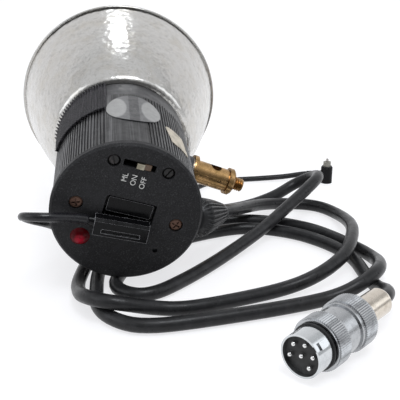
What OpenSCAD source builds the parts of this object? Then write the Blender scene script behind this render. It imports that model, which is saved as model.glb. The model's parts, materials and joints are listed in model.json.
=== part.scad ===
// Compact flash head with a bowl reflector, lying on its reflector rim and on its own lead.
// The head is drawn upright in its own frame: rear plate at y = 0, light shining along +Y,
// mounting stud towards +X. head() then rolls it, tilts it and sets it down.

/* [Barrel] */
// Outer radius of the ribbed barrel
barrel_r = 43.4; // [43:0.1:45]
// Number of ribs around the barrel
rib_count = 132; // [60:2:160]
// Depth of the ribs
rib_depth = 0.7; // [0.3:0.1:1.2]
// Thickness of the barrel wall
barrel_wall = 2.4; // [1.8:0.1:2.4]
// Distance from the rear face to the front casting
collar_y = 82; // [78:0.5:88]
// Distance from the rear face to the front edge of the casting
front_y = 102.5; // [100:0.5:108]

/* [Rear plate] */
// Radius of the rear plate
plate_r = 44.5; // [43:0.1:46]
// Thickness of the rear plate
plate_t = 5; // [4:0.5:6]
// Travel of the switch slider from OFF to its far end
switch_travel = 7.5; // [5:0.5:7.5]

/* [Reflector] */
// Outer radius of the reflector rim
rim_r = 74.2; // [70:0.1:80]
// Distance from the rear face to the reflector rim
rim_y = 186; // [170:1:195]
// Thickness of the reflector sheet
sheet = 1.2; // [0.8:0.1:1.6]

/* [Stud] */
// Radius of the mounting stud (5/8 inch)
stud_r = 7.94; // [7.5:0.01:8]
// Distance of the stud axis from the rear face
stud_y = 94; // [93:0.5:95]
// Turn of the stud below the rear plate's own horizontal
stud_turn = 4; // [0:0.5:6]

/* [Leads] */
// Diameter of the main lead
lead_d = 8.6; // [8:0.1:8.6]
// Diameter of the sync lead
sync_d = 4.3; // [4:0.1:4.4]

/* [Pose] */
// Roll of the head, clockwise seen from behind
roll = 17.5; // [16:0.5:19]
// Upward tilt of the light axis
tilt = 6.5; // [6:0.1:7]

/* [Hidden] */
$fn = 72;

// Where the head stands in the row's frame
lay = [-5.4, -94.2];
bead_r = 1.6;
bead_ring = rim_r - bead_r;
axis_z = bead_ring * cos(tilt) + bead_r - rim_y * sin(tilt);

// Radii inside the head
barrel_bore = barrel_r - barrel_wall;
collar_r = barrel_r - 0.6;
collar_bore = 40;
neck_r = 39.6;
bowl_back_y = front_y + 0.8;
bowl_back_r = 46;

// Rear plate features, measured from its centre as [x, z]
screw_x = 30;
recess = [30, 23];
recess_at = [1, -2];
switch_at = [-1.1, 31.7];
switch_slot = [18.8, 4.2];
switch_screw_at = [16, 31.2];
lens_at = [-22.3, -21];
trimmer_at = [23, -19.8];

// Connector on the end of the main lead: place of its face and direction of its tail
connector_at = [75.5, -195, 15];
connector_turn = 41.5;
connector_len = 76;
connector_tail = connector_at + connector_len * [cos(connector_turn), sin(connector_turn), 0];
tail_lead_in = connector_at + (connector_len + 8) * [cos(connector_turn), sin(connector_turn), 0];

// Strain relief of the main lead: where it leaves the barrel and where the lead starts
boot_base = [40, -66, 37];
boot_tip = [56, -44, 30];
boot_lead_in = [60.6, -37.7, 28];

// Sync plug side exit in the head's frame, and the tip plug that stands on the surface
plug_exit = [-21.2, -3.9, -7];
tip_at = [163, 84];
tip_exit = [147, 88, 6.5];
tip_lead_in = [143.2, 88.9, 6.4];

// Route of the main lead: once round from the boot, under the head, twice more, then the connector
main_route = [boot_tip, boot_lead_in,
    [78, -8, 18], [96, 15, 10.5], [118, 28, 5], [139, 22, 4.7], [150, 3, 5.2],
    [150, -29, 11], [142, -58, 14.8], [129, -84, 14.2], [108, -101, 10], [82, -108, 4.8],
    [32, -122, 4.7], [10, -124, 6.5], [-8, -128, 12.4], [-22, -126, 14.4], [-32, -113, 11], [-35, -98, 5.8],
    [-36, -83, 4.6],
    [-28, -46, 4.6], [-12, -13, 4.6], [20, -3, 4.6], [81, 1, 4.6], [122, -18, 4.6],
    [145, -50, 4.6], [153, -72, 5.5], [150, -92, 11], [142, -109, 14.6], [129, -119, 12], [112, -122, 6.2],
    [73, -130, 4.6], [10, -140, 4.6], [-11, -134, 4.6], [-23, -118, 4.6], [-25, -96, 4.6],
    [-23, -66, 4.6], [-14, -42, 4.8], [8, -16, 11.5], [20, -2, 14.2], [33, 9, 11], [52, 17, 5.2],
    [85, 27, 4.7], [110, 38, 8], [127, 46, 14], [138, 41, 21], [140, 26, 27.5], [131, 8, 28],
    [107, -13, 18], [83, -34, 9.5], [45, -71, 4.7], [12, -101, 4.6], [-3, -103, 4.6], [-13, -93, 4.6],
    [-10, -74, 4.6], [14, -38, 4.6], [70, -14, 4.6], [106, -23, 4.6], [129, -45, 4.6],
    [140, -69, 4.6], [141, -93, 4.6], [143, -112, 5.2], [143, -126, 11], tail_lead_in, connector_tail];

// Route of the sync lead: a loop in the air beside the plate, then along the surface to its tip
sync_route = [head_point(plug_exit),
    [-37, -101, 54.8], [-50, -107, 58], [-60, -105, 58], [-65, -96, 54.5], [-62, -86, 48],
    [-55, -73, 40], [-50, -50, 27], [-43, -28, 11], [-30, -6, 2.6], [0, 16, 2.2],
    [25, 31, 2.2], [43, 56, 2.2], [57, 81, 2.2], [78, 91, 2.2], [108, 93, 2.2], [132, 91, 4],
    tip_lead_in, tip_exit];

// A smooth curve through the points P: Catmull-Rom, at parameter t from 0 to len(P) - 1
function clampi(i, n) = max(0, min(n - 1, i));
function blend4(a, b, c, d, u) = 0.5 * ((2 * b) + (c - a) * u + (2 * a - 5 * b + 4 * c - d) * u * u
    + (3 * b - a - 3 * c + d) * u * u * u);
function on_curve(P, t) = let (n = len(P), i = clampi(floor(t), n - 1), u = t - i)
    blend4(P[clampi(i - 1, n)], P[i], P[clampi(i + 1, n)], P[clampi(i + 2, n)], u);
function pieces(P, i, step) = max(1, round(norm(P[i + 1] - P[i]) / step));
function curve(P, step) = concat([for (i = [0 : len(P) - 2]) let (n = pieces(P, i, step))
    for (k = [0 : n - 1]) on_curve(P, i + k / n)], [P[len(P) - 1]]);
function unit(v) = v / norm(v);
function heading(Q, i) = unit(Q[min(i + 1, len(Q) - 1)] - Q[max(i - 1, 0)]);

// A closed tube of radius r along the curve through P, with a ring about every step
module tube(P, r, step, sides) {
    Q = curve(P, step);
    rings = len(Q);
    points = [for (i = [0 : rings - 1]) let (h = heading(Q, i), side = unit(cross(h, [0, 0, 1])),
        up = cross(side, h)) for (k = [0 : sides - 1])
            Q[i] + r * (cos(k * 360 / sides) * side + sin(k * 360 / sides) * up)];
    walls = [for (i = [0 : rings - 2]) for (k = [0 : sides - 1]) let (j = (k + 1) % sides)
        [i * sides + k, i * sides + j, (i + 1) * sides + j, (i + 1) * sides + k]];
    start = [for (k = [sides - 1 : -1 : 0]) k];
    finish = [for (k = [0 : sides - 1]) (rings - 1) * sides + k];
    polyhedron(points, concat([start], walls, [finish]), convexity = 10);
}

// A point of the head's frame in the row's frame
function rolled(p) = [p[0] * cos(roll) + p[2] * sin(roll), p[1], p[2] * cos(roll) - p[0] * sin(roll)];
function tilted(p) = [p[0], p[1] * cos(tilt) - p[2] * sin(tilt), p[1] * sin(tilt) + p[2] * cos(tilt)];
function head_point(p) = tilted(rolled(p)) + [lay[0], lay[1], axis_z];

// Placements
module head() translate([lay[0], lay[1], axis_z]) rotate([tilt, 0, 0]) rotate([0, roll, 0]) children();
module ahead(y) translate([0, y, 0]) rotate([-90, 0, 0]) children();
module through(y, depth) translate([0, y + depth, 0]) rotate([90, 0, 0]) linear_extrude(depth) children();
module at_xz(p) translate([p[0], 0, p[1]]) children();
module stud_axis() rotate([0, stud_turn, 0]) translate([0, stud_y, 0]) rotate([0, 90, 0]) children();
module connector() translate(connector_at) rotate([0, 0, connector_turn]) rotate([0, 90, 0]) children();
module aim(from, to) {
    d = to - from;
    translate(from) rotate([0, acos(d[2] / norm(d)), atan2(d[1], d[0])]) children();
}

// Shapes used more than once
module tube_ring(r_out, r_in, h) difference() {
    cylinder(r = r_out, h = h);
    translate([0, 0, -1]) cylinder(r = r_in, h = h + 2);
}
module rounded(size, r) {
    square([size[0] - 2 * r, size[1]], center = true);
    square([size[0], size[1] - 2 * r], center = true);
    for (sx = [-1, 1], sy = [-1, 1])
        translate([sx * (size[0] / 2 - r), sy * (size[1] / 2 - r)]) circle(r = r, $fn = 24);
}
module knurled(r, h, teeth, depth) linear_extrude(h) polygon([for (i = [0 : 2 * teeth - 1])
    let (a = i * 180 / teeth, rr = r - (i % 2) * depth) [rr * cos(a), rr * sin(a)]]);
module on_barrel(angle, y) rotate([0, -angle, 0]) translate([0, y, 0]) rotate([0, 90, 0]) children();

// Barrel: an extrusion with ribs, smooth where the label sits
panel_angle = 105;
panel_half = 17;
function rib_radius(a, low) = abs(a - panel_angle) < panel_half ? barrel_r - 0.15
    : barrel_r - (low ? rib_depth : 0);
module rib_outline() polygon([for (i = [0 : rib_count - 1]) for (k = [0 : 3])
    let (a = (i + [0, 0.42, 0.54, 0.88][k]) * 360 / rib_count, r = rib_radius(a, k > 1))
        [r * cos(a), -r * sin(a)]]);
module barrel() color("dimgray") difference() {
    head() ahead(plate_t) linear_extrude(collar_y - plate_t) rib_outline();
    head() ahead(0) cylinder(r = barrel_bore, h = front_y);
    boot_neck(6);
}

// Front casting: bulkhead, reflector seat and stud boss
base_screw_z = 26;
leg_at = [7, -20];
bulkhead_t = 3;
boss_x = 49.6;
module front_collar() color("black") head() difference() {
    union() {
        ahead(collar_y) cylinder(r = collar_r, h = front_y - collar_y);
        stud_axis() translate([0, 0, collar_bore + 0.5]) cylinder(r = 8.8, h = boss_x - collar_bore - 0.5);
    }
    ahead(collar_y + bulkhead_t) cylinder(r = collar_bore, h = front_y);
    ahead(collar_y - 1) cylinder(r = 12, h = bulkhead_t + 2);
    stud_axis() translate([0, 0, collar_bore + 1.5]) cylinder(r = 4.85, h = boss_x);
    for (side = [-1, 1]) {
        at_xz([0, side * base_screw_z]) ahead(collar_y - 1) cylinder(r = 1.6, h = bulkhead_t + 2);
        at_xz([side * leg_at[0], leg_at[1]]) ahead(collar_y - 1) cylinder(r = 3.2, h = bulkhead_t + 2);
    }
}

// Band of hook tape stuck round one side of the front casting
strip_start = 120;
strip_sweep = 65;
module hook_strip() color("#2b2630") head() ahead(58) rotate([0, 0, -strip_start - strip_sweep])
    rotate_extrude(angle = strip_sweep) translate([barrel_r + 0.1, 0]) square([1.6, 43]);

// Labels: thin curved pads
function oval(a, b) = [for (i = [0 : 39]) [a * cos(i * 9), b * sin(i * 9)]];
module pad(thick) intersection() {
    ahead(0) tube_ring(barrel_r + thick, barrel_r + 0.02, front_y);
    children();
}
module oval_label() color("white") head() pad(0.4)
    on_barrel(97.5, 57) linear_extrude(50) polygon(oval(17, 20.5));
module side_label() color("ivory") head() pad(0.35)
    on_barrel(58, 38) linear_extrude(50) rotate(12) rounded([16, 20], 2);

// Rear plate, moulded, with a recess for the sync plug
module rear_plate() color("#262626") head() difference() {
    ahead(0) rotate_extrude() polygon([[0, 0], [plate_r - 1.3, 0], [plate_r, 1.3],
        [plate_r, plate_t], [0, plate_t]]);
    through(-1, plate_t + 2) translate(recess_at) rounded(recess, 1.5);
    through(-1, plate_t + 2) translate(switch_at) square(switch_slot, center = true);
    for (side = [-1, 1]) {
        at_xz([side * screw_x, 0]) ahead(-1) cylinder(r = 1.8, h = plate_t + 2);
        at_xz([side * screw_x, 0]) ahead(-1) cylinder(r = 4.2, h = 3);
        at_xz([side * switch_screw_at[0], switch_screw_at[1]]) ahead(-1) cylinder(r = 1.6, h = plate_t + 2);
        at_xz([side * switch_screw_at[0], switch_screw_at[1]]) ahead(-1) cylinder(r = 3.8, h = 3.6);
    }
    at_xz(lens_at) ahead(-1) cylinder(r = 4.7, h = plate_t + 2);
    at_xz(trimmer_at) ahead(-1) cylinder(r = 1.5, h = plate_t + 2);
}

// Screws: rounded heads with a driving slot or cross
module screw(head_r, head_h, shank_r, length, slots) difference() {
    union() {
        rotate_extrude() polygon([[0, 0], [head_r * 0.75, 0], [head_r, head_h * 0.4],
            [head_r, head_h], [0, head_h]]);
        cylinder(r = shank_r, h = length);
    }
    for (k = [1 : slots]) rotate(k * 90) translate([-head_r * (slots > 1 ? 0.66 : 1.1), -0.5, -1])
        cube([2 * head_r * (slots > 1 ? 0.66 : 1.1), 1, 2.1]);
}
module plate_screws() color("#9a6a5c") head() for (side = [-1, 1])
    at_xz([side * screw_x, 0]) ahead(0.3) rotate(side * 20) screw(3.9, 1.6, 1.6, 16, 2);
module switch_screws() color("#1c1c1c") head() for (side = [-1, 1])
    at_xz([side * switch_screw_at[0], switch_screw_at[1]]) ahead(0.9) rotate(side * 25)
        screw(3.5, 1.6, 1.4, 8, 1);

// Slide switch: housing behind the plate, and the slider that a fingertip moves
module switch_body() color("#303030") head() difference() {
    through(plate_t, 9) translate([0, switch_at[1]]) square([35.6, 9], center = true);
    through(plate_t - 1, 6) translate(switch_at) square([21, 5.4], center = true);
    for (side = [-1, 1]) at_xz([side * switch_screw_at[0], switch_screw_at[1]])
        ahead(plate_t - 1) cylinder(r = 1.5, h = 11);
}
slider_right = 5.6;
slider_w = 4.4;
module slider_block(x0, w, y0, y1) translate([x0, y0, switch_at[1] - 1.7]) cube([w, y1 - y0, 3.4]);
module slider() color("#c9c6bd") head() {
    slider_block(slider_right - 8.4, slider_w, -1.2, plate_t + 3);
    slider_block(slider_right - 8.4, 8.4, plate_t + 0.3, plate_t + 3);
}
module slider_strip() color("#8a6a4c") head()
    slider_block(slider_right - 8.4 + slider_w, 8.4 - slider_w, -0.2, plate_t + 0.3);

// Ready light: jewel in front, neon lamp behind
module ready_lens() color("#a01818") head() at_xz(lens_at) ahead(-2.8) rotate_extrude()
    polygon([[0, 0], [2.2, 0.25], [4, 1.1], [5.2, 2.1], [5.7, 2.75], [4.6, 2.75], [4.6, 8.5], [0, 8.5]]);
module ready_lamp() color("#e8b090") head() at_xz(lens_at) ahead(6.2) {
    cylinder(r = 3, h = 9);
    translate([0, 0, 9]) cylinder(r = 2.4, h = 3);
}
module trimmer() color("#3b5a8c") head() at_xz(trimmer_at) ahead(plate_t + 0.2) {
    cylinder(r = 4, h = 5);
    translate([0, 0, -3]) cylinder(r = 1.2, h = 3);
}

// Sync socket behind the plate; the upper half of the recess is filled by its raised panel
blade_x = 6.3;
blade_z = -8.3;
socket_y = plate_t + 1.2;
socket_turn = 3.5;
module plugged(y) translate([recess_at[0], y, blade_z]) rotate([0, -socket_turn, 0]) children();
module blade_pair(y, depth, size) for (side = [-1, 1])
    plugged(y) translate([side * blade_x - size[0] / 2, 0, -size[1] / 2]) cube([size[0], depth, size[1]]);
module sync_socket() color("#1b1b1b") head() difference() {
    union() {
        through(socket_y, 13) translate(recess_at) rounded([34, 27], 2);
        through(plate_t, 1.2) translate(recess_at) difference() {
            rounded([34, 27], 2);
            rounded(recess, 1.5);
        }
        through(1.6, socket_y - 1.6) translate([recess_at[0], 3.4]) rounded([26.6, 9.2], 1);
    }
    blade_pair(socket_y - 1, 11, [1.9, 7.2]);
}
module sync_contacts() color("#b59a4a") head() blade_pair(socket_y + 13, 4, [1.2, 6]);

// Household-style sync plug and its two blades
plug_size = [32, 7.2, 10.6];
plug_lift = 0.6;
module sync_plug() color("#202020") head() {
    plugged(-plug_size[1] - 0.3) difference() {
        translate([-plug_size[0] / 2 - 2.2, 0, plug_lift - plug_size[2] / 2]) cube(plug_size);
        translate([-22, 0, plug_lift + plug_size[2] / 2 - 1.6]) rotate([45, 0, 0]) cube([44, 4, 4]);
        translate([-13.5, -1, plug_lift - 3.4]) cube([22.6, 2.2, 2.6]);
    }
    plugged(-0.3) translate([-12.6, 0, -4.2]) cube([25.2, socket_y + 0.1, 9.2]);
    translate([-16.8, plug_exit[1], plug_exit[2]]) rotate([0, -90, 0]) cylinder(r1 = 3.2, r2 = 2.4, h = 4.4);
}
module sync_blades() color("#c8a860") head() blade_pair(socket_y - 0.2, 9.1, [1.5, 6.4]);

// Inside the barrel
module tie_rods() color("silver") head() for (side = [-1, 1]) at_xz([side * screw_x, 0]) ahead(plate_t) difference() {
    cylinder(r = 3.6, h = collar_y - plate_t);
    translate([0, 0, -1]) cylinder(r = 1.75, h = 14);
}
board_z = 15;
board_w = 2 * sqrt(pow(barrel_bore, 2) - pow(board_z + 1.6, 2)) - 0.4;
module circuit_board() color("#3f6b3a") head() translate([-board_w / 2, 22, board_z])
    cube([board_w, 56, 1.6]);
module board_parts() color("#a8752c") head() translate([0, 0, board_z + 1.6]) {
    for (i = [0 : 3]) translate([-21 + i * 6.5, 28, 0]) cylinder(r = 2.6, h = 9);
    for (i = [0 : 2]) translate([10, 30 + i * 9, 0]) cube([10, 5, 4]);
    for (i = [0 : 4]) translate([-20, 44 + i * 5, 1.2]) rotate([0, 90, 0]) cylinder(r = 1.2, h = 8);
    translate([-22, 70, 0]) cube([16, 6, 7]);
}
module trigger_coil() color("#7a3b22") head() translate([2, 62, board_z + 1.6]) {
    cylinder(r = 6.5, h = 13);
    translate([0, 0, 13]) cylinder(r = 3, h = 2);
}
cap_at = [-1, -19];
cap_r = 15.5;
module flash_capacitor() color("#26323f") head() at_xz(cap_at) ahead(23.6) {
    cylinder(r = cap_r, h = 54);
    for (side = [-1, 1]) translate([side * 5, 0, -3.5]) cylinder(r = 1.8, h = 3.5);
}
module capacitor_clamp() color("silver") head() at_xz(cap_at) ahead(50) difference() {
    union() {
        cylinder(r = cap_r + 1.4, h = 10);
        translate([-3.5, cap_at[1] - board_z, 0]) cube([7, board_z - cap_at[1] - cap_r, 10]);
    }
    translate([0, 0, -1]) cylinder(r = cap_r + 0.1, h = 12);
}

// Light unit in the mouth of the barrel
base_y = collar_y + bulkhead_t;
module tube_base() color("gainsboro") head() difference() {
    ahead(base_y) cylinder(r = 34, h = 4);
    ahead(base_y - 1) cylinder(r = 9.6, h = 6);
    for (side = [-1, 1]) {
        at_xz([0, side * base_screw_z]) ahead(base_y - 1) cylinder(r = 1.7, h = 6);
        at_xz([side * leg_at[0], leg_at[1]]) ahead(base_y - 1) cylinder(r = 3.2, h = 6);
    }
}
module base_screws() color("silver") head() for (side = [-1, 1]) at_xz([0, side * base_screw_z])
    ahead(base_y + 5.6) rotate([180, 0, 0]) screw(3.2, 1.6, 1.5, 10, 1);
module tube_sockets() color("ivory") head() for (side = [-1, 1]) at_xz([side * leg_at[0], leg_at[1]])
    ahead(base_y - 6) cylinder(r = 3.1, h = 12);
ring_r = 20;
ring_gap = 41;
module flash_tube() color("white") head() {
    ahead(base_y + 21) rotate([0, 0, 90 + ring_gap / 2]) rotate_extrude(angle = 360 - ring_gap)
        translate([ring_r + 1.2, 0]) circle(r = 2.9, $fn = 32);
    for (side = [-1, 1]) at_xz([side * leg_at[0], leg_at[1]]) ahead(base_y + 6) cylinder(r = 2.9, h = 17.6);
}
module lamp_holder() color("#efe7d2") head() ahead(base_y - 6.5) difference() {
    cylinder(r = 9.3, h = 16.5);
    translate([0, 0, 4.5]) cylinder(r = 6.9, h = 13);
}
module modelling_lamp() color("lightyellow") head() ahead(base_y - 1.8) {
    cylinder(r = 6.6, h = 12.5);
    translate([0, 0, 12.5]) cylinder(r = 5, h = 6);
    translate([0, 0, 24]) sphere(r = 9);
}

// Reflector: spun bowl with a rolled rim, riveted to the neck ring that pushes into the casting
bowl_steps = 20;
function bowl_r(t) = sqrt(pow(bowl_back_r, 2) + (pow(bead_ring, 2) - pow(bowl_back_r, 2)) * t);
function bowl_y(t) = bowl_back_y + (rim_y - bowl_back_y) * t;
module reflector_bowl() color("silver") head() ahead(0) rotate_extrude() {
    polygon(concat([[34, bowl_back_y]],
        [for (i = [0 : bowl_steps]) [bowl_r(i / bowl_steps), bowl_y(i / bowl_steps)]],
        [for (i = [bowl_steps : -1 : 1]) [bowl_r(i / bowl_steps) - sheet, bowl_y(i / bowl_steps)]],
        [[bowl_back_r - sheet, bowl_back_y + sheet], [34, bowl_back_y + sheet]]));
    translate([bead_ring, rim_y]) circle(r = bead_r, $fn = 24);
}
module reflector_neck() color("#8f8f8f") head() {
    ahead(front_y - 12) tube_ring(neck_r, neck_r - 1.2, 12.8);
    ahead(bowl_back_y + sheet) difference() {
        tube_ring(44, 35, 1);
        for (a = [0 : 60 : 300]) rotate(a) translate([41.6, 0, -1]) cylinder(r = 1.3, h = 3);
    }
}
module reflector_rivets() color("silver") head() ahead(bowl_back_y + sheet + 1) for (a = [0 : 60 : 300])
    rotate(a) translate([41.6, 0, 0]) {
        cylinder(r = 2.2, h = 0.9);
        translate([0, 0, -1]) cylinder(r = 1.2, h = 1.2);
    }

// Mounting stud: washer, drilled spigot, flange and 3/8 inch thread
hub_from = 50.2;
spigot_from = 53.6;
groove_at = 76.6;
flange_from = 77.4;
thread_from = 83.2;
thread_r = 4.76;
thread_len = 6.4;
pitch = 1.59;
cross_hole = 67;
module stud() color("#b08d45") head() stud_axis() difference() {
    rotate_extrude() polygon(concat([[0, 42.5], [4.7, 42.5], [4.7, hub_from], [10.4, hub_from],
        [10.6, hub_from + 0.6], [10.6, spigot_from - 0.5], [stud_r, spigot_from], [stud_r, groove_at],
        [7.1, groove_at], [7.1, flange_from], [9.45, flange_from], [9.45, flange_from + 3.2],
        [8.3, flange_from + 4.4], [4.1, flange_from + 4.4]],
        [for (i = [0 : 3]) for (k = [0 : 1]) [thread_r - 0.75 * (1 - k), thread_from + (i + k / 2) * pitch]],
        [[thread_r - 0.75, thread_from + thread_len], [0, thread_from + thread_len]]));
    translate([0, 0, cross_hole]) rotate([0, 90, 0]) cylinder(r = 4, h = 40, center = true);
}
module stud_washer() color("silver") head() stud_axis() translate([0, 0, boss_x]) tube_ring(8.4, 5, 0.6);

// Strain relief where the main lead leaves the barrel, grooved lengthwise
boot_len = norm(boot_tip - boot_base);
boot_grooves = 26;
boot_r = 12.4;
boot_tip_r = 6.2;
boot_slant = atan2(boot_r - boot_tip_r, boot_len - 1);
boot_root = [-2, -58, 53];
module boot_neck(r) aim(boot_base, boot_root) translate([0, 0, -2]) cylinder(r = r, h = 10);
module lead_boot() color("#1a1a1a") {
    difference() {
        boot_neck(5.9);
        head() ahead(0) cylinder(r = barrel_bore - 1.5, h = 100);
    }
    boot_body();
}
module boot_body() difference() {
    aim(boot_base, boot_tip) difference() {
        rotate_extrude() polygon([[0, -8], [6, -7], [10, -4], [boot_r, 0], [boot_tip_r, boot_len - 1],
            [lead_d / 2 + 0.6, boot_len], [0, boot_len]]);
        for (k = [0 : boot_grooves - 1]) rotate(k * 360 / boot_grooves)
            translate([boot_r + 0.2, 0, 0]) rotate([0, -boot_slant, 0]) translate([0, 0, -4])
                cylinder(r1 = 1.05, r2 = 0.5, h = boot_len + 1, $fn = 16);
    }
    head() ahead(-10) cylinder(r = barrel_r + 0.1, h = 140);
}
module main_lead() color("#2a2a2a") tube(main_route, lead_d / 2 - 0.1, 40, 8);
module sync_lead() color("#2a2a2a") tube(sync_route, sync_d / 2 - 0.05, 40, 8);

// Multi-pin connector, from its face to its tail
shell_r = 11.8;
shell_end = 12.8;
ring_from = 13.2;
ring_len = 11.8;
middle_from = ring_from + ring_len + 0.4;
clamp_from = 37.4;
sleeve_from = 49.9;
key_turn = 228;
pin_circle = 7;
pin_places = concat([[0, 0]],
    [for (k = [0 : 4]) [pin_circle * cos(75 + k * 60), pin_circle * sin(75 + k * 60)]]);
module connector_shell() color("silver") connector() difference() {
    union() {
        cylinder(r = shell_r, h = shell_end);
        rotate(key_turn) translate([shell_r - 0.4, -2, 3]) cube([1.3, 4, 5]);
    }
    translate([0, 0, -1]) cylinder(r = 10.7, h = shell_end - 1.2);
    rotate(key_turn) translate([9.8, -1.4, -1]) cube([1.4, 2.8, 3.2]);
}
module connector_seal() color("#151515") connector() translate([0, 0, shell_end - 1.4])
    tube_ring(shell_r + 0.9, shell_r + 0.05, 1.2);
module connector_insert() color("#161616") connector() translate([0, 0, 2.4]) difference() {
    cylinder(r = 10.6, h = 8.2);
    for (p = pin_places) translate([p[0], p[1], -1]) cylinder(r = 1.35, h = 8.7);
    rotate(key_turn) translate([9, -1.3, -1]) cube([3, 2.6, 3]);
}
module connector_pins() color("#c8c8c8") connector() for (p = pin_places) translate([p[0], p[1], 1]) {
    cylinder(r = 1.3, h = 9);
    sphere(r = 1.3, $fn = 24);
}
module coupling_ring() color("silver") connector() translate([0, 0, ring_from]) difference() {
    union() {
        translate([0, 0, 1.2]) knurled(14.7, ring_len - 2.4, 72, 0.5);
        cylinder(r = 14, h = ring_len);
    }
    translate([0, 0, -1]) cylinder(r = 12.1, h = ring_len + 2);
}
module connector_body() color("#b8b8b8") connector() {
    translate([0, 0, shell_end]) cylinder(r = 12, h = middle_from - shell_end);
    translate([0, 0, middle_from]) cylinder(r = 13, h = clamp_from - middle_from - 1.6);
    translate([0, 0, clamp_from - 1.6]) cylinder(r = 13.9, h = 1.5);
}
module clamp_ring() color("silver") connector() translate([0, 0, clamp_from]) {
    translate([0, 0, 1]) knurled(14.8, 10.4, 72, 0.5);
    cylinder(r = 14, h = 12.4);
}
module connector_sleeve() color("#cfc4b0") connector() translate([0, 0, sleeve_from])
    rotate_extrude() polygon([[0, 0], [8.9, 0], [8.9, 1.2], [8.2, 1.5], [8.2, 2.3], [8.7, 2.6], [8.7, 3.6],
        [8, 4], [8, 24.9], [7.4, 26.1], [0, 26.1]]);

// Sync tip plug: boot, upright body, insulator and tip
module tip_boot() color("#1e1e1e") difference() {
    aim(tip_exit, [tip_at[0], tip_at[1], 7])
        cylinder(r1 = 2.6, r2 = 3.4, h = norm([tip_at[0], tip_at[1], 7] - tip_exit));
    translate([tip_at[0], tip_at[1], -1]) cylinder(r = 4.9, h = 20);
}
module tip_body() color("#242424") translate([tip_at[0], tip_at[1], 0.1]) {
    cylinder(r = 4.8, h = 13);
    translate([0, 0, 13]) cylinder(r1 = 4.8, r2 = 4, h = 1.2);
}
module tip_insulator() color("white") translate([tip_at[0], tip_at[1], 14.3]) tube_ring(3.1, 1.2, 3.6);
module tip_pin() color("silver") translate([tip_at[0], tip_at[1], 14.3]) {
    cylinder(r = 1.1, h = 5.4);
    translate([0, 0, 5.4]) sphere(r = 1.1, $fn = 24);
}

barrel();
front_collar();
hook_strip();
oval_label();
side_label();
rear_plate();
plate_screws();
switch_screws();
switch_body();
slider();
slider_strip();
ready_lens();
ready_lamp();
trimmer();
sync_socket();
sync_contacts();
tie_rods();
circuit_board();
board_parts();
trigger_coil();
flash_capacitor();
capacitor_clamp();
tube_base();
base_screws();
tube_sockets();
flash_tube();
lamp_holder();
modelling_lamp();
reflector_bowl();
reflector_neck();
reflector_rivets();
stud();
stud_washer();
lead_boot();
main_lead();
connector_shell();
connector_seal();
connector_insert();
connector_pins();
coupling_ring();
connector_body();
clamp_ring();
connector_sleeve();
sync_plug();
sync_blades();
sync_lead();
tip_boot();
tip_body();
tip_insulator();
tip_pin();
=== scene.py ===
"""Looks of the flash head: cords, hammered reflector, tape, labels and every material.

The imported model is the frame. Places come from its boxes, joints and mounts.
"""

import json
import math
import random

import bpy
from mathutils import Matrix, Vector, noise


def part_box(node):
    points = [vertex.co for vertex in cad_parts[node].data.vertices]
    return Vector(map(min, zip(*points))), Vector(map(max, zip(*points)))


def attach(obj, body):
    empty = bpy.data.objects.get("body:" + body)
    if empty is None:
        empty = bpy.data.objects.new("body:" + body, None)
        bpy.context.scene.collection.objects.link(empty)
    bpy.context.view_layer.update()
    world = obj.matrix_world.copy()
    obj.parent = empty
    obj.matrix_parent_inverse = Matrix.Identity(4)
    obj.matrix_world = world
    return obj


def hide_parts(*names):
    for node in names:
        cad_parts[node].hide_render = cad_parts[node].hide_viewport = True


MM = 0.001
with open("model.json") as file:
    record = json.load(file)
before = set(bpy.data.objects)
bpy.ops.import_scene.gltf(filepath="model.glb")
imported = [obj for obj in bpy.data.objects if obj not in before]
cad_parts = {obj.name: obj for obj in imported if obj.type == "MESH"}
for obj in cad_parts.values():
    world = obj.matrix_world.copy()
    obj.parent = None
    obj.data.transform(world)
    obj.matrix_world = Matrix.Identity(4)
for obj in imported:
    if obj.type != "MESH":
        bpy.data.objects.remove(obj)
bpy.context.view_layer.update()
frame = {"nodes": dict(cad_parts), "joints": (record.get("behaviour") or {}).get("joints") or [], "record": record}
cad = frame["nodes"]
joints = {j["name"]: j for j in frame["joints"]}
mounts = {m["name"]: m for m in frame["record"]["mounts"]}


# ---------------------------------------------------------------- frames of reference


def axes_matrix(origin, x, y):
    """Placement with the given origin, x axis and y axis."""
    x, y = Vector(x).normalized(), Vector(y).normalized()
    z = x.cross(y)
    m = Matrix((x, y, z)).transposed().to_4x4()
    m.translation = Vector(origin)
    return m


def along_matrix(origin, z):
    """Placement whose z axis runs along the given direction."""
    m = Vector(z).to_track_quat("Z", "Y").to_matrix().to_4x4()
    m.translation = Vector(origin)
    return m


PLATE_T = 5 * MM
BARREL_END = 82 * MM
barrel_low, barrel_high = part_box("barrel")
barrel_middle = (barrel_low + barrel_high) / 2
head_x = Vector(joints["switch_slide"]["axis"])
head_y = Vector(joints["reflector_pull"]["axis"])
HEAD = axes_matrix(barrel_middle - head_y * (PLATE_T + BARREL_END) / 2, head_x, head_y)
PLUG_FACE = Vector(mounts["connector_face"]["pos_m"])
PLUG_AXIS = -Vector(mounts["connector_face"]["axis"])
BARREL_R = 43.4 * MM
# Middle of the smooth sector and its oval label: turn about the barrel, distance from the rear face
LABEL_TURN = math.radians(97.5)
LABEL_Y = 57.0
JEWEL_AT = (-22.3, -21)


def mm(*p):
    """A point given in millimetres."""
    return Vector(p) * MM


# ---------------------------------------------------------------- camera


def camera():
    cam = bpy.data.objects.new("camera", bpy.data.cameras.new("camera"))
    bpy.context.scene.collection.objects.link(cam)
    cam.data.sensor_width = 36
    cam.data.lens = 71.1
    look = Vector((0.10316, 0.92404, -0.36812))
    cam.matrix_world = look.to_track_quat("-Z", "Y").to_matrix().to_4x4()
    cam.location = mm(-10.0, -518.8, 228.7)
    cam.data.clip_end = 20
    bpy.context.scene.camera = cam


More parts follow.
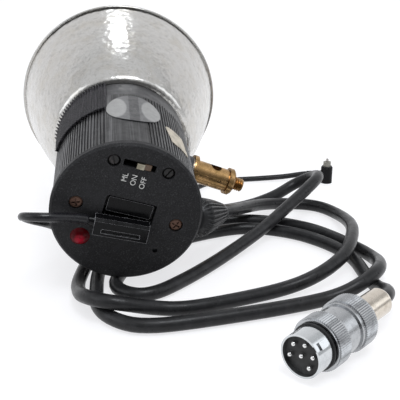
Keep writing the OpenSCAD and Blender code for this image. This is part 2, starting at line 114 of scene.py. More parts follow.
# ---------------------------------------------------------------- mesh helpers


def mesh_object(name, verts, faces, smooth=True):
    data = bpy.data.meshes.new(name)
    data.from_pydata([tuple(v) for v in verts], [], faces)
    data.validate()
    data.polygons.foreach_set("use_smooth", [smooth] * len(data.polygons))
    obj = bpy.data.objects.new(name, data)
    bpy.context.scene.collection.objects.link(obj)
    return obj


def grid_faces(rows, cols, wrap_cols=True, wrap_rows=False):
    """Quads of a grid whose vertices run row by row."""
    faces = []
    for i in range(rows if wrap_rows else rows - 1):
        for j in range(cols if wrap_cols else cols - 1):
            a, b = i * cols + j, i * cols + (j + 1) % cols
            c, d = ((i + 1) % rows) * cols + (j + 1) % cols, ((i + 1) % rows) * cols + j
            faces.append((a, b, c, d))
    return faces


def turned_points(profile, place, steps, bump):
    """Points of a turned shape; bump(k, a) adds to the radius of profile point k at angle a."""
    points = []
    for k, (r, h) in enumerate(profile):
        for j in range(steps):
            a = 2 * math.pi * j / steps
            rr = r + bump(k, a)
            points.append(place @ Vector((rr * math.cos(a), rr * math.sin(a), h)))
    return points


def lathe(name, profile, place, steps, bump):
    """Turned solid: profile is (radius, height) from one end to the other."""
    faces = grid_faces(len(profile), steps)
    faces.append(tuple(range(steps - 1, -1, -1)))
    faces.append(tuple(range((len(profile) - 1) * steps, len(profile) * steps)))
    return mesh_object(name, turned_points(profile, place, steps, bump), faces)


def lathe_ring(name, profile, place, steps, bump):
    """Turned ring: profile is a closed loop of (radius, height)."""
    faces = grid_faces(len(profile), steps, wrap_rows=True)
    return mesh_object(name, turned_points(profile, place, steps, bump), faces)


# ---------------------------------------------------------------- materials


class Shader:
    """A material being built: its principled shader, and short ways to add nodes."""

    def __init__(self, name, color, rough=0.5, metal=0.0, **sockets):
        self.mat = bpy.data.materials.new(name)
        self.mat.use_nodes = True
        self.tree = self.mat.node_tree
        self.bsdf = self.tree.nodes["Principled BSDF"]
        self.color = (*color, 1)
        self.put("Base Color", self.color)
        self.put("Roughness", rough)
        self.put("Metallic", metal)
        for key, value in sockets.items():
            self.put(key.replace("_", " ").title().replace("Ior", "IOR"), value)
        coords = self.tree.nodes.new("ShaderNodeTexCoord")
        self.coords = coords.outputs["Object"]

    def put(self, socket, value):
        self.bsdf.inputs[socket].default_value = value

    def node(self, kind, **settings):
        n = self.tree.nodes.new(kind)
        for key, value in settings.items():
            setattr(n, key, value)
        return n

    def link(self, a, b):
        self.tree.links.new(a, b)

    def placed(self, place, stretch=(1, 1, 1)):
        """Object coordinates seen from the frame called place, stretched along its axes."""
        m = self.node("ShaderNodeMapping", vector_type="TEXTURE")
        m.inputs["Location"].default_value = place.to_translation()
        m.inputs["Rotation"].default_value = place.to_euler("XYZ")
        m.inputs["Scale"].default_value = stretch
        self.link(self.coords, m.inputs["Vector"])
        return m.outputs["Vector"]

    def noise(self, size, detail=3, rough=0.55, coords=None, distortion=0.0):
        """Noise with features of about the given size, in metres."""
        n = self.node("ShaderNodeTexNoise")
        n.inputs["Scale"].default_value = 1 / size
        n.inputs["Detail"].default_value = detail
        n.inputs["Roughness"].default_value = rough
        n.inputs["Distortion"].default_value = distortion
        self.link(coords or self.coords, n.inputs["Vector"])
        return n.outputs["Fac"]

    def cells(self, size):
        """Distance to the nearest of scattered points, about the given size apart."""
        n = self.node("ShaderNodeTexVoronoi")
        n.inputs["Scale"].default_value = 1 / size
        self.link(self.coords, n.inputs["Vector"])
        return n.outputs["Distance"]

    def ramp(self, socket, start, end, low=0.0, high=1.0):
        """Maps start..end to low..high."""
        n = self.node("ShaderNodeMapRange")
        for key, value in (("From Min", start), ("From Max", end), ("To Min", low), ("To Max", high)):
            n.inputs[key].default_value = value
        self.link(socket, n.inputs["Value"])
        return n.outputs["Result"]

    def math(self, operation, a, b=None):
        n = self.node("ShaderNodeMath", operation=operation)
        for i, v in enumerate((a, b)):
            if v is None:
                continue
            if isinstance(v, (int, float)):
                n.inputs[i].default_value = v
            else:
                self.link(v, n.inputs[i])
        return n.outputs[0]

    def split(self, vector):
        n = self.node("ShaderNodeSeparateXYZ")
        self.link(vector, n.inputs[0])
        return n.outputs

    def tint(self, mask, color):
        """Lays another colour over the base colour where mask is 1."""
        n = self.node("ShaderNodeMix", data_type="RGBA")
        self.link(mask, n.inputs["Factor"])
        previous = self.bsdf.inputs["Base Color"].links
        if previous:
            self.link(previous[0].from_socket, n.inputs["A"])
        else:
            n.inputs["A"].default_value = self.color
        n.inputs["B"].default_value = (*color, 1)
        self.link(n.outputs["Result"], self.bsdf.inputs["Base Color"])
        return self

    def roughen(self, mask, low, high):
        """Lets the roughness follow the mask between low and high."""
        self.link(self.ramp(mask, 0.3, 0.7, low, high), self.bsdf.inputs["Roughness"])
        return self

    def edges(self, radius):
        """1 along sharp edges, 0 on flat faces."""
        rounded = self.node("ShaderNodeBevel", samples=8)
        rounded.inputs["Radius"].default_value = radius
        flat = self.node("ShaderNodeNewGeometry")
        n = self.node("ShaderNodeVectorMath", operation="DOT_PRODUCT")
        self.link(rounded.outputs["Normal"], n.inputs[0])
        self.link(flat.outputs["Normal"], n.inputs[1])
        return self.ramp(n.outputs["Value"], 0.98, 0.8)

    def bump(self, height, distance, strength=1.0):
        n = self.node("ShaderNodeBump")
        n.inputs["Distance"].default_value = distance
        n.inputs["Strength"].default_value = strength
        self.link(height, n.inputs["Height"])
        previous = self.bsdf.inputs["Normal"].links
        if previous:
            self.link(previous[0].from_socket, n.inputs["Normal"])
        self.link(n.outputs["Normal"], self.bsdf.inputs["Normal"])
        return self


def worn(shader, color, amount, size=3 * MM):
    """Small scuffs of another colour; amount from 0 to 1."""
    mask = shader.ramp(shader.noise(size, 6, 0.7, distortion=1.0), 0.72 - 0.18 * amount, 0.8 - 0.15 * amount)
    shader.tint(mask, color)
    return shader


def barrel_metal():
    s = Shader("barrel_metal", (0.06, 0.06, 0.062), 0.38, 0.8)
    # Lengthwise streaks: lighter rib crests and dark fine lines, a painted highlight and painted shade of the
    # ribs; the streaks also drive a faint bump.
    lengthwise = s.placed(HEAD, (1, 70, 1))
    rib_shade_streaks = s.noise(1.6 * MM, 3, 0.6, lengthwise)
    s.tint(s.ramp(rib_shade_streaks, 0.45, 0.75), (0.15, 0.15, 0.155))
    s.tint(s.ramp(s.noise(0.7 * MM, 1, 0.5, s.placed(HEAD, (1, 60, 1))), 0.5, 0.6), (0.025, 0.025, 0.026))
    s.tint(s.ramp(s.noise(4 * MM, 4, 0.6), 0.6, 0.8), (0.035, 0.035, 0.036))
    # Long dark lengthwise lines: more painted shade along the rib grooves.
    s.tint(s.ramp(s.noise(5 * MM, 2, 0.5, s.placed(HEAD, (1, 40, 1))), 0.66, 0.7), (0.012, 0.012, 0.012))
    p = s.split(s.placed(HEAD))
    off = s.math("ABSOLUTE", s.math("SUBTRACT", s.math("ARCTAN2", p[2], p[0]), LABEL_TURN))
    panel = s.ramp(off, math.radians(17.5), math.radians(16.5), 0.0, 0.55)
    s.tint(panel, (0.02, 0.02, 0.021))
    s.roughen(s.noise(6 * MM), 0.3, 0.48)
    s.bump(rib_shade_streaks, 0.05 * MM)
    return s.mat


def casting_black():
    s = Shader("casting_black", (0.06, 0.06, 0.063), 0.38, 0.6)
    s.roughen(s.noise(5 * MM), 0.3, 0.5)
    worn(s, (0.16, 0.16, 0.165), 0.25)
    lengthwise = s.placed(HEAD, (1, 10, 1))
    s.tint(s.ramp(s.noise(1.2 * MM, 3, 0.6, lengthwise), 0.62, 0.8), (0.14, 0.14, 0.145))
    s.bump(s.noise(0.5 * MM), 0.02 * MM)
    return s.mat


def plate_plastic():
    s = Shader("plate_plastic", (0.01, 0.01, 0.011), 0.45, specular_ior_level=0.22)
    grain = s.noise(0.7 * MM, 3, 0.6)
    s.tint(s.ramp(grain, 0.52, 0.7), (0.042, 0.042, 0.045))
    s.tint(s.ramp(s.noise(9 * MM, 4, 0.6), 0.55, 0.75), (0.018, 0.018, 0.02))
    s.roughen(s.noise(4 * MM, 5), 0.42, 0.62)
    s.bump(grain, 0.25 * MM, 0.9)
    worn(s, (0.1, 0.1, 0.1), 0.1, 1.2 * MM)
    return s.mat


def black_plastic():
    """Gloss black with painted highlights along its sharp edges."""
    rough = 0.2
    s = Shader("black_plastic", (0.0035, 0.0035, 0.004), rough, specular_ior_level=0.14)
    s.tint(s.ramp(s.noise(4 * MM, 5, 0.7), 0.6, 0.8), (0.012, 0.012, 0.013))
    s.roughen(s.noise(3 * MM, 4), rough - 0.06, rough + 0.12)
    # Pale edges: a painted highlight along every sharp edge, standing in for light caught on the edges.
    s.tint(s.edges(0.5 * MM), (0.3, 0.3, 0.31))
    return s.mat


def rubber(name, color, size):
    s = Shader(name, color, 0.34, specular_ior_level=0.22)
    s.tint(s.ramp(s.noise(size * 6, 4, 0.6), 0.45, 0.75), tuple(c * 1.9 for c in color))
    s.tint(s.ramp(s.noise(size * 1.2, 5, 0.7, distortion=1.5), 0.68, 0.76), tuple(c * 9.0 for c in color))
    s.roughen(s.noise(size * 4, 4), 0.24, 0.42)
    s.bump(s.noise(0.5 * MM, 2), 0.03 * MM, 0.5)
    return s.mat


def bright_metal(name, color, rough, stain=None, metal=1.0):
    s = Shader(name, color, rough, metal)
    s.tint(s.ramp(s.noise(7 * MM, 5, 0.65), 0.5, 0.8), stain or tuple(c * 0.75 for c in color))
    s.roughen(s.noise(3 * MM, 5, 0.6), rough * 0.7, rough * 1.5)
    s.bump(s.noise(0.6 * MM, 4), 0.01 * MM, 0.6)
    return s.mat


def brass():
    s = Shader("stud_brass", (0.5, 0.31, 0.14), 0.24, 1.0)
    s.tint(s.ramp(s.noise(5 * MM, 6, 0.7), 0.42, 0.66), (0.25, 0.155, 0.06))
    s.tint(s.ramp(s.noise(1.4 * MM, 4, 0.6), 0.6, 0.7), (0.1, 0.06, 0.03))
    s.roughen(s.noise(2.5 * MM, 5, 0.6), 0.2, 0.42)
    s.bump(s.noise(0.5 * MM, 4), 0.015 * MM, 0.6)
    return s.mat


def reflector_metal():
    s = Shader("reflector_metal", (0.6, 0.59, 0.57), 0.2, 1.0)
    s.tint(s.ramp(s.noise(14 * MM, 5, 0.65), 0.45, 0.7), (0.55, 0.525, 0.48))
    s.tint(s.ramp(s.noise(3 * MM, 5, 0.7, distortion=1.0), 0.5, 0.7), (0.46, 0.45, 0.43))
    s.tint(s.ramp(s.noise(2.2 * MM, 6, 0.75, distortion=1.0), 0.69, 0.75), (0.2, 0.19, 0.17))
    s.roughen(s.noise(8 * MM, 5), 0.15, 0.28)
    s.bump(s.cells(3.2 * MM), 0.25 * MM, 0.35)
    s.bump(s.noise(1.2 * MM, 3), 0.03 * MM, 0.5)
    return s.mat


def plain(name, color, rough=0.5, metal=0.0, spot=None, size=2 * MM, **sockets):
    """A lightly uneven surface of one colour."""
    s = Shader(name, color, rough, metal, **sockets)
    s.tint(s.ramp(s.noise(size, 4), 0.5, 0.8), spot or tuple(c * 0.7 for c in color))
    s.roughen(s.noise(size * 1.5, 4), rough * 0.8, min(1, rough * 1.3))
    s.bump(s.noise(size * 0.3), 0.015 * MM, 0.5)
    return s.mat


def glass(name, color, rough):
    s = Shader(name, color, rough, 0.0, transmission_weight=0.85, ior=1.46)
    s.roughen(s.noise(4 * MM, 4), rough, rough + 0.12)
    s.tint(s.ramp(s.noise(5 * MM, 3), 0.5, 0.9), tuple(c * 0.85 for c in color))
    return s.mat


def jewel():
    s = Shader("jewel_red", (0.07, 0.002, 0.004), 0.14, specular_ior_level=0.1)
    # Brighter red core a little below the middle of the lens: a painted glow and highlight, not the jewel's own
    # colour.
    p = s.split(s.placed(HEAD))
    dx = s.math("SUBTRACT", s.math("DIVIDE", p[0], MM), JEWEL_AT[0])
    dz = s.math("SUBTRACT", s.math("DIVIDE", p[2], MM), JEWEL_AT[1] - 1)
    d = s.math("ADD", s.math("MULTIPLY", dx, dx), s.math("MULTIPLY", dz, dz))
    s.tint(s.ramp(d, 14, 1), (0.3, 0.006, 0.02))
    s.tint(s.ramp(s.noise(2 * MM, 4), 0.55, 0.75), (0.04, 0.002, 0.004))
    s.roughen(s.noise(2 * MM, 4), 0.1, 0.3)
    return s.mat


def foil_label():
    """Oval label: pale lenses at both sides of a darker band, no lettering."""
    s = Shader("foil_label", (0.13, 0.13, 0.133), 0.4, 0.5)
    p = s.split(s.placed(HEAD))
    angle = s.math("ARCTAN2", p[2], p[0])
    across = s.math("MULTIPLY", s.math("SUBTRACT", LABEL_TURN, angle), BARREL_R / MM)
    along = s.math("SUBTRACT", s.math("DIVIDE", p[1], MM), LABEL_Y)

    def lens(centre, half_w, half_h):
        dx = s.math("DIVIDE", s.math("SUBTRACT", across, centre), half_w)
        dy = s.math("DIVIDE", along, half_h)
        d = s.math("ADD", s.math("MULTIPLY", dx, dx), s.math("MULTIPLY", dy, dy))
        return s.ramp(d, 1.1, 0.8)

    for side in (-1, 1):
        s.tint(lens(side * 11, 6.5, 16), (0.3, 0.3, 0.295))
    band = s.ramp(s.math("ABSOLUTE", across), 3.2, 3.0)
    s.tint(band, (0.06, 0.06, 0.062))
    s.tint(s.ramp(s.noise(1.2 * MM, 5), 0.6, 0.75), (0.22, 0.22, 0.22))
    s.roughen(s.noise(4 * MM), 0.28, 0.5)
    s.bump(s.noise(3 * MM, 4), 0.04 * MM, 0.6)
    return s.mat


def floor_material():
    s = Shader("floor", (0.3, 0.3, 0.3), 0.6, emission_color=(0.98, 0.98, 1.0, 1), emission_strength=0.72)
    s.bump(s.noise(30 * MM), 0.01 * MM, 0.2)
    return s.mat


def dress(obj, mat):
    obj.data.materials.clear()
    obj.data.materials.append(mat)
    return obj


# ---------------------------------------------------------------- cords

LEAD_D = 8.6 * MM
SYNC_D = 4.3 * MM
BOOT_BASE = (40, -66, 37)
BOOT_TIP = (56, -44, 30)
BOOT_LEAD_IN = (60.6, -37.7, 28)
CONNECTOR_LEN = 76
TAIL = tuple((PLUG_FACE + PLUG_AXIS * CONNECTOR_LEN * MM) / MM)
TAIL_LEAD_IN = tuple((PLUG_FACE + PLUG_AXIS * (CONNECTOR_LEN + 8) * MM) / MM)
PLUG_EXIT = tuple(HEAD @ mm(-21.2, -3.9, -7) / MM)
TIP_EXIT = (147, 88, 6.5)
TIP_LEAD_IN = (143.2, 88.9, 6.4)

MAIN_ROUTE = [
    BOOT_TIP, BOOT_LEAD_IN, (78, -8, 18), (96, 15, 10.5), (118, 28, 5), (139, 22, 4.7),
    (150, 3, 5.2), (150, -29, 11), (142, -58, 14.8), (129, -84, 14.2), (108, -101, 10),
    (82, -108, 4.8), (32, -122, 4.7), (10, -124, 6.5), (-8, -128, 12.4), (-22, -126, 14.4),
    (-32, -113, 11), (-35, -98, 5.8), (-36, -83, 4.6), (-28, -46, 4.6), (-12, -13, 4.6),
    (20, -3, 4.6), (81, 1, 4.6), (122, -18, 4.6), (145, -50, 4.6), (153, -72, 5.5), (150, -92, 11),
    (142, -109, 14.6), (129, -119, 12), (112, -122, 6.2), (73, -130, 4.6), (10, -140, 4.6),
    (-11, -134, 4.6), (-23, -118, 4.6), (-25, -96, 4.6), (-23, -66, 4.6), (-14, -42, 4.8),
    (8, -16, 11.5), (20, -2, 14.2), (33, 9, 11), (52, 17, 5.2), (85, 27, 4.7), (110, 38, 8),
    (127, 46, 14), (138, 41, 21), (140, 26, 27.5), (131, 8, 28), (107, -13, 18), (83, -34, 9.5),
    (45, -71, 4.7), (12, -101, 4.6), (-3, -103, 4.6), (-13, -93, 4.6), (-10, -74, 4.6),
    (14, -38, 4.6), (70, -14, 4.6), (106, -23, 4.6), (129, -45, 4.6), (140, -69, 4.6),
    (141, -93, 4.6), (143, -112, 5.2), (143, -126, 11), TAIL_LEAD_IN, TAIL,
]
SYNC_ROUTE = [
    PLUG_EXIT, (-37, -101, 54.8), (-50, -107, 58), (-60, -105, 58), (-65, -96, 54.5),
    (-62, -86, 48), (-55, -73, 40), (-50, -50, 27), (-43, -28, 11), (-30, -6, 2.6), (0, 16, 2.2),
    (25, 31, 2.2), (43, 56, 2.2), (57, 81, 2.2), (78, 91, 2.2), (108, 93, 2.2), (132, 91, 4),
    TIP_LEAD_IN, TIP_EXIT,
]


def catmull(a, b, c, d, u):
    """Catmull-Rom between b and c."""
    return 0.5 * (2 * b + (c - a) * u + (2 * a - 5 * b + 4 * c - d) * u * u + (3 * b - a - 3 * c + d) * u**3)


def smooth_route(points, step=4 * MM, passes=3):
    """Even, fair points along the given route."""
    p = [Vector(q) * MM for q in points]
    p = [p[0]] + p + [p[-1]]
    out = []
    for i in range(1, len(p) - 2):
        n = max(2, round((p[i + 1] - p[i]).length / step))
        out += [catmull(*p[i - 1 : i + 3], k / n) for k in range(n)]
    out.append(p[-1])
    for _ in range(passes):
        inner = [out[i] * 0.5 + (out[i - 1] + out[i + 1]) * 0.25 for i in range(2, len(out) - 2)]
        out = out[:2] + inner + out[-2:]
    return out


def route_length(points):
    return sum((b - a).length for a, b in zip(points, points[1:]))


def cord(name, route, diameter, mat):
    """A round cord as one open curve; returns it and its length."""
    points = smooth_route(route)
    curve = bpy.data.curves.new(name, "CURVE")
    curve.dimensions = "3D"
    curve.bevel_depth = diameter / 2
    curve.bevel_resolution = 6
    curve.use_fill_caps = True
    spline = curve.splines.new("POLY")
    spline.points.add(len(points) - 1)
    for point, co in zip(spline.points, points):
        point.co = (*co, 1)
    spline.use_smooth = True
    obj = bpy.data.objects.new(name, curve)
    bpy.context.scene.collection.objects.link(obj)
    curve.materials.append(mat)
    return obj, route_length(points)


def cords():
    lead_rubber = rubber("lead_rubber", (0.014, 0.014, 0.0148), 1.2 * MM)
    lead, length = cord("main_lead_cord", MAIN_ROUTE, LEAD_D, lead_rubber)
    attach(lead, "head")
    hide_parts("main_lead")
    sync, length = cord("sync_lead_cord", SYNC_ROUTE, SYNC_D, lead_rubber)
    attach(sync, "head")
    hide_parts("sync_lead")


def plug_sleeve():
    """Tapered sleeve over the first part of the sync lead, where it leaves its plug."""
    length, steps = 46 * MM, 20
    start_r, taper, end_r = 2.85, 0.5, 2.16
    rows, gone = [], 0.0
    points = smooth_route(SYNC_ROUTE, 2 * MM)
    side = Vector((0, 0, 1))
    for a, b in zip(points, points[1:]):
        if gone > length:
            break
        along = (b - a).normalized()
        side = (side - along * side.dot(along)).normalized()
        radius = (start_r - taper * (gone / length) ** 2) * MM
        rows.append((a, side, along.cross(side), radius))
        gone += (b - a).length
    rows.append((*rows[-1][:3], end_r * MM))
    verts = [centre + (u * math.cos(t) + v * math.sin(t)) * radius
             for centre, u, v, radius in rows
             for t in (2 * math.pi * k / steps for k in range(steps))]
    faces = grid_faces(len(rows), steps)
    faces.append(tuple(range(steps - 1, -1, -1)))
    faces.append(tuple(range((len(rows) - 1) * steps, len(rows) * steps)))
    obj = mesh_object("sync_sleeve", verts, faces)
    s = Shader("sleeve_rubber", (0.009, 0.009, 0.011), 0.26, specular_ior_level=0.35)
    s.tint(s.ramp(s.noise(5 * MM, 5, 0.7), 0.55, 0.8), (0.022, 0.022, 0.025))
    s.roughen(s.noise(3 * MM, 4), 0.2, 0.36)
    dress(obj, s.mat)
    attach(obj, "head")


# ---------------------------------------------------------------- reflector

RIM_R = 74.2 * MM
BEAD_R = 1.6 * MM
RIM_Y = 186 * MM
BACK_Y = 103.3 * MM
BACK_R = 46 * MM
BOWL_HOLE_R = 34.2 * MM
BOWL_FLAT_R = 44.4 * MM
SHEET = 1.2 * MM
DIMPLE = 4.6 * MM
AHEAD = HEAD @ Matrix.Rotation(-math.pi / 2, 4, "X")


def dimple(a, y, depth):
    """Hammer mark: depth of the nearest mark's dish at this place of the bowl."""
    mean_r = 60 * MM
    p = Vector((mean_r * math.cos(a), mean_r * math.sin(a), y)) / DIMPLE
    distances, _ = noise.voronoi(p)
    return depth * (min(distances[0], 0.7) - 0.4)


def bowl():
    """Spun bowl with hammer marks outside and in, and a rolled rim."""
    rows, bead_steps, steps = 64, 14, 420
    early, power = 0.14, 0.7
    mean_r = RIM_R - BEAD_R

    def radius(t):
        swell = ((t + early) ** power - early**power) / ((1 + early) ** power - early**power)
        return math.sqrt(BACK_R**2 + (mean_r**2 - BACK_R**2) * swell)

    profile = [(BOWL_HOLE_R, BACK_Y), (BOWL_FLAT_R, BACK_Y)]
    outer = [(radius(t), BACK_Y + (RIM_Y - BACK_Y) * t) for t in (k / rows for k in range(rows + 1))]
    profile += [(r, h) for r, h in outer[1:]]
    for k in range(1, bead_steps):
        a = -0.5 * math.pi + 1.9 * math.pi * k / bead_steps
        profile.append((mean_r + BEAD_R * math.cos(a), RIM_Y + BEAD_R * math.sin(a)))
    profile += [(r - SHEET, h) for r, h in reversed(outer[1:])]
    profile += [(BOWL_FLAT_R, BACK_Y + SHEET), (BOWL_HOLE_R, BACK_Y + SHEET)]
    last_outer = 1 + rows
    first_inner = last_outer + bead_steps

    def marks(k, a):
        h = profile[k][1]
        if 2 < k < last_outer - 1:
            return dimple(a, h, 0.34 * MM)
        if k > first_inner and h > BACK_Y + 3 * MM:
            return dimple(a, h, 0.3 * MM)
        return 0

    obj = lathe_ring("hammered_bowl", profile, AHEAD, steps, marks)
    dress(obj, reflector_metal())
    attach(obj, "reflector")
    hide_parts("reflector_bowl")


# ---------------------------------------------------------------- boot, tape, lettering


def boot():
    """Strain relief with flutes along it, its round back lying on the barrel."""
    base, tip = mm(*BOOT_BASE), mm(*BOOT_TIP)
    length = (tip - base).length
    place = along_matrix(base, tip - base)
    back, flutes, rows = 8 * MM, 26, 60
    base_r, fall, rounding, flute_depth = 13.0, 6.4, 0.14, 1.7
    profile = [(0.2 * MM, -back)]
    for k in range(rows + 1):
        t = k / rows
        radius = base_r - fall * t**1.5 - 5 * max(0, rounding - t) / rounding
        profile.append((radius * MM, t * (length + back) - back))

    def groove(k, a):
        t = (k - 1) / rows
        depth = flute_depth * MM * (1 - 0.45 * t) * min(1, max(0, 0.93 - t) * 12, max(0, t - 0.05) * 12)
        return -depth * (0.5 - 0.5 * math.cos(flutes * a)) ** 2

    obj = lathe("fluted_boot", profile, place, 26 * 12, groove)
    to_head = HEAD.inverted()
    for v in obj.data.vertices:
        p = to_head @ v.co
        r = math.hypot(p.x, p.z)
        if r < BARREL_R + 0.1 * MM:
            k = (BARREL_R + 0.1 * MM) / r
            v.co = HEAD @ Vector((p.x * k, p.y, p.z * k))
    dress(obj, rubber("boot_rubber", (0.02, 0.02, 0.021), 1.5 * MM))
    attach(obj, "head")
    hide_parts("lead_boot")


def tape():
    """Patch of hook tape with serrated edges and a slanted end."""
    rng = random.Random(5)
    start, sweep, slant = math.radians(120), math.radians(65), math.radians(14)
    tooth = 1.9 * MM
    cols = 2 * round(BARREL_R * sweep / tooth) + 1
    rows = 40
    near, far = 58 * MM, 101 * MM
    inner, outer = BARREL_R + 0.1 * MM, BARREL_R + 1.7 * MM
    verts = []
    for layer in range(2):
        for i in range(rows):
            v = i / (rows - 1)
            for j in range(cols):
                u = j / (cols - 1)
                a = start + sweep * u + slant * u**3 * (v - 0.5)
                jag = (1.3 if j % 2 else -1.3) * MM + rng.uniform(-0.4, 0.4) * MM
                edge = jag * (max(0, v - 0.9) - max(0, 0.1 - v)) * 10
                y = near + (far - near) * v + edge
                curl = 1.6 * MM * max(0, v - 0.88, 0.07 - v) / 0.12
                ridge = curl if j % 2 else -0.7 * MM
                r = inner if layer == 0 else outer + ridge - rng.uniform(0, 0.3) * MM
                verts.append(HEAD @ Vector((r * math.cos(a), y, r * math.sin(a))))
    count = rows * cols
    faces = [f[::-1] for f in grid_faces(rows, cols, wrap_cols=False)]
    faces += [tuple(v + count for v in f) for f in grid_faces(rows, cols, wrap_cols=False)]
    loop = list(range(cols))
    loop += [i * cols + cols - 1 for i in range(1, rows)]
    loop += [(rows - 1) * cols + j for j in range(cols - 2, -1, -1)]
    loop += [i * cols for i in range(rows - 2, 0, -1)]
    for a, b in zip(loop, loop[1:] + loop[:1]):
        faces.append((a, b, b + count, a + count))
    obj = mesh_object("hook_tape", verts, faces, smooth=False)
    s = Shader("hook_tape", (0.008, 0.0075, 0.009), 0.6, specular_ior_level=0.3)
    s.tint(s.ramp(s.cells(1.1 * MM), 0.25, 0.5), (0.02, 0.019, 0.022))
    s.tint(s.ramp(s.noise(2 * MM, 5, 0.7), 0.66, 0.75), (0.06, 0.056, 0.062))
    s.tint(s.ramp(s.noise(1 * MM, 2, 0.5, s.placed(HEAD, (1, 30, 1))), 0.5, 0.6), (0.035, 0.032, 0.037))
    s.bump(s.cells(0.9 * MM), 0.35 * MM, 0.9)
    dress(obj, s.mat)
    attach(obj, "head")
    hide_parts("hook_strip")


def word(text, x, z, ink):
    """A printed word on the rear plate that reads upwards."""
    curve = bpy.data.curves.new("print_" + text, "FONT")
    curve.body = text
    curve.size = 4.4 * MM
    curve.align_x = "CENTER"
    curve.align_y = "CENTER"
    curve.extrude = 0.02 * MM
    text_obj = bpy.data.objects.new("text", curve)
    bpy.context.scene.collection.objects.link(text_obj)
    bpy.context.view_layer.update()
    data = bpy.data.meshes.new_from_object(text_obj.evaluated_get(bpy.context.evaluated_depsgraph_get()))
    bpy.data.objects.remove(text_obj)
    local = Matrix.Translation(mm(x, -0.03, z)) @ Matrix.Rotation(math.pi / 2, 4, "X")
    data.transform(HEAD @ local @ Matrix.Rotation(math.pi / 2, 4, "Z"))
    obj = bpy.data.objects.new("print_" + text, data)
    bpy.context.scene.collection.objects.link(obj)
    dress(obj, ink)
    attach(obj, "head")


def lettering():
    ink = plain("print_ink", (0.62, 0.62, 0.6), 0.6, spot=(0.25, 0.25, 0.25), size=0.8 * MM)
    for text, x, z in (("ML", -7.3, 22.7), ("ON", -1.9, 22.2), ("OFF", 3.6, 21.7)):
        word(text, x, z, ink)


# ---------------------------------------------------------------- materials of the CAD nodes


def dress_nodes():
    steel = bright_metal("steel", (0.6, 0.6, 0.59), 0.32)
    alloy = bright_metal("connector_alloy", (0.6, 0.62, 0.63), 0.13, (0.42, 0.43, 0.44))
    knurl = bright_metal("knurled_alloy", (0.44, 0.45, 0.46), 0.2, (0.24, 0.24, 0.25))
    ceramic = plain("ceramic", (0.78, 0.76, 0.7), 0.4)
    plastic = black_plastic()
    looks = {
        barrel_metal(): ["barrel"],
        casting_black(): ["front_collar"],
        plate_plastic(): ["rear_plate"],
        foil_label(): ["oval_label"],
        plain("paper_label", (0.5, 0.45, 0.37), 0.7, spot=(0.24, 0.22, 0.18), size=5 * MM): ["side_label"],
        bright_metal("rusty_steel", (0.12, 0.07, 0.052), 0.42, (0.035, 0.02, 0.016), 0.85): ["plate_screws"],
        plain("dark_steel", (0.02, 0.02, 0.02), 0.4, 0.6, (0.06, 0.05, 0.05)): ["switch_screws"],
        bright_metal("slider_metal", (0.3, 0.28, 0.22), 0.3, (0.1, 0.09, 0.06)): ["slider"],
        plain("slider_brown", (0.1, 0.06, 0.035), 0.5): ["slider_strip"],
        jewel(): ["ready_lens"],
        plastic: ["switch_body", "sync_socket", "sync_plug", "tip_boot", "tip_body"],
        glass("lamp_glass", (0.95, 0.92, 0.85), 0.12): ["ready_lamp", "modelling_lamp"],
        glass("tube_glass", (0.93, 0.95, 0.96), 0.06): ["flash_tube"],
        plain("trimmer_blue", (0.01, 0.012, 0.016), 0.5): ["trimmer"],
        bright_metal("contact_brass", (0.6, 0.46, 0.2), 0.3): ["sync_contacts", "sync_blades"],
        steel: ["tie_rods", "capacitor_clamp", "base_screws", "stud_washer", "reflector_rivets"],
        plain("board_green", (0.03, 0.12, 0.05), 0.4, spot=(0.02, 0.07, 0.03)): ["circuit_board"],
        plain("components", (0.35, 0.2, 0.07), 0.35, size=4 * MM): ["board_parts"],
        bright_metal("copper_coil", (0.5, 0.2, 0.1), 0.35): ["trigger_coil"],
        plain("capacitor_sleeve", (0.03, 0.05, 0.09), 0.35): ["flash_capacitor"],
        ceramic: ["tube_base", "tube_sockets", "lamp_holder"],
        bright_metal("neck_metal", (0.5, 0.5, 0.51), 0.35): ["reflector_neck"],
        brass(): ["stud"],
        alloy: ["connector_shell"],
        knurl: ["coupling_ring", "connector_body", "clamp_ring"],
        plain("seal_black", (0.004, 0.004, 0.004), 0.5): ["connector_seal", "connector_insert"],
        bright_metal("pin_metal", (0.75, 0.75, 0.74), 0.2): ["connector_pins"],
        bright_metal("tip_steel", (0.4, 0.38, 0.36), 0.2, (0.2, 0.18, 0.16)): ["tip_pin"],
        bright_metal("warm_nickel", (0.66, 0.6, 0.52), 0.16, (0.45, 0.39, 0.32)): ["connector_sleeve"],
        plain("tip_white", (0.26, 0.25, 0.22), 0.5): ["tip_insulator"],
    }
    for mat, names in looks.items():
        for name in names:
            dress(cad[name], mat)


# ---------------------------------------------------------------- studio


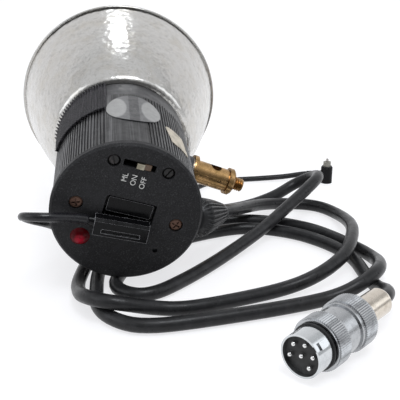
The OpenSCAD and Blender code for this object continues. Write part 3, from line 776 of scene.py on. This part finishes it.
def studio_world():
    """Light from above and from both sides; darker in front of the object."""
    world = bpy.data.worlds.new("studio")
    bpy.context.scene.world = world
    world.use_nodes = True
    tree = world.node_tree

    def ramp(socket, start, end, low, high):
        n = tree.nodes.new("ShaderNodeMapRange")
        n.interpolation_type = "SMOOTHSTEP"
        for key, value in (("From Min", start), ("From Max", end), ("To Min", low), ("To Max", high)):
            n.inputs[key].default_value = value
        tree.links.new(socket, n.inputs["Value"])
        return n.outputs["Result"]

    def combine(operation, a, b):
        n = tree.nodes.new("ShaderNodeMath")
        n.operation = operation
        tree.links.new(a, n.inputs[0])
        tree.links.new(b, n.inputs[1])
        return n.outputs[0]

    coords = tree.nodes.new("ShaderNodeTexCoord")
    split = tree.nodes.new("ShaderNodeSeparateXYZ")
    tree.links.new(coords.outputs["Generated"], split.inputs[0])
    x, y, z = split.outputs
    above = ramp(z, 0.25, 0.8, 0.1, 0.8)
    left = ramp(x, -0.35, -0.75, 0.0, 0.75)
    right = ramp(x, 0.35, 0.75, 0.0, 0.6)
    behind = ramp(y, 0.1, 0.6, 0.0, 0.8)
    light = combine("MAXIMUM", combine("MAXIMUM", above, left), combine("MAXIMUM", right, behind))
    back = tree.nodes["Background"]
    back.inputs["Color"].default_value = (0.96, 0.975, 1.0, 1)
    tree.links.new(light, back.inputs["Strength"])


def studio():
    """Pale floor that sweeps up far behind the object, and soft light."""
    half, front, depth, rise, sweep = 3.0, -0.46, 1.3, 1.8, 0.6
    profile = [(front, 0.0), (depth - sweep, 0.0)]
    profile += [(depth - sweep + sweep * math.sin(a), sweep - sweep * math.cos(a))
                for a in (math.pi / 2 * k / 12 for k in range(1, 13))]
    profile.append((depth, rise))
    verts = [(x, y, z) for y, z in profile for x in (-half, half)]
    floor = mesh_object("floor", verts, grid_faces(len(profile), 2, wrap_cols=False))
    dress(floor, floor_material())
    studio_world()
    for name, place, target, size, power in (
        ("key", (0.15, -0.45, 1.0), (0.0, 0.0, 0.0), 0.4, 5),
        ("left", (-1.2, -0.3, 0.7), (0.0, 0.0, 0.05), 0.9, 3),
        ("right", (1.2, -0.3, 0.7), (0.0, 0.0, 0.05), 0.9, 2.5),
        ("back", (0.02, 0.76, 1.1), (0.0, 0.05, 0.1), 0.25, 0.8),
    ):
        data = bpy.data.lights.new(name, "AREA")
        data.size = size
        data.energy = power
        data.color = (0.93, 0.96, 1.0)
        light = bpy.data.objects.new(name, data)
        bpy.context.scene.collection.objects.link(light)
        light.location = place
        light.rotation_euler = (Vector(target) - Vector(place)).to_track_quat("-Z", "Y").to_euler()
    bpy.context.scene.view_settings.view_transform = "Standard"


camera()
cords()
plug_sleeve()
bowl()
boot()
tape()
lettering()
dress_nodes()
studio()
